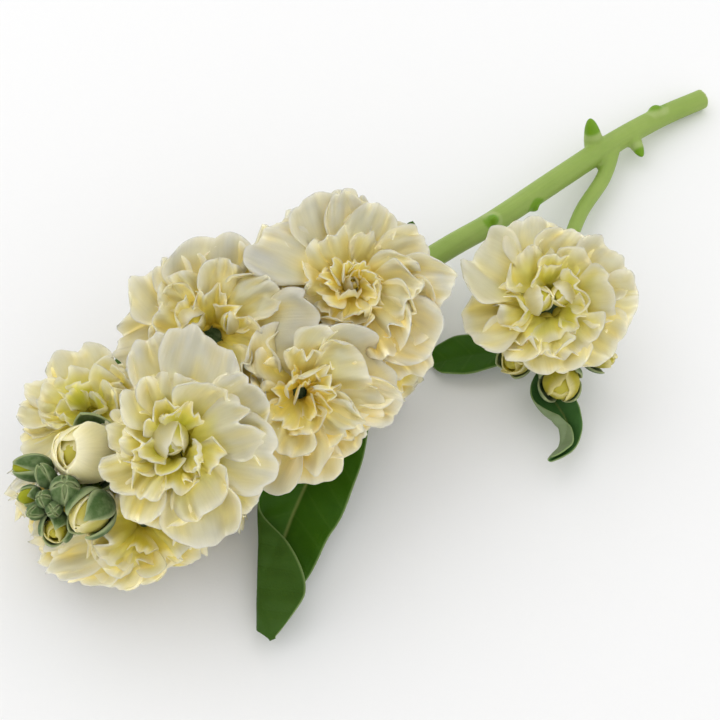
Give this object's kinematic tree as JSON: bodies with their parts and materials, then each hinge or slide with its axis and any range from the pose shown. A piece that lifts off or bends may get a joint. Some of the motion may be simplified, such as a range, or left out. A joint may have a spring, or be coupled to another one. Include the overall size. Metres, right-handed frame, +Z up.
{
  "type": "stock flower",
  "caption": "Cut stem of double stock lying on its side, with a spike of ruffled cream blooms, a side shoot with one bloom, buds and long leaves.",
  "frame": {"origin": "middle of the plant's outline, on the surface it lies on", "axes": "+Z up from the surface; the stem lies from its bud tip at -X -Y to its cut end at +X +Y"},
  "size_m": [0.1598, 0.1459, 0.0548],
  "materials": {
    "green_tissue": "satin",
    "petal": "matte",
    "bud_petal": "satin",
    "leaf": "satin"
  },
  "bodies": {
    "root": {"stem": "green_tissue", "bloom_upper": "petal", "bloom_upper_left": "petal", "bloom_front": "petal", "bloom_right": "petal", "bloom_left": "petal", "bloom_foot": "petal", "bloom_under_right": "petal", "bloom_under_front": "petal", "bloom_under_left": "petal", "bloom_back": "petal", "bloom_back_upper": "petal", "bloom_under": "petal", "bloom_side": "petal", "bud_opening": "bud_petal", "bud_front": "bud_petal", "bud_yellow": "bud_petal", "bud_side_left": "bud_petal", "bud_side_front": "bud_petal", "bud_side_right": "bud_petal", "leaf_large": "leaf", "leaf_oval": "leaf", "leaf_curled": "leaf", "leaf_tip_left": "leaf", "leaf_tip_back": "leaf"}
  },
  "joints": []
}
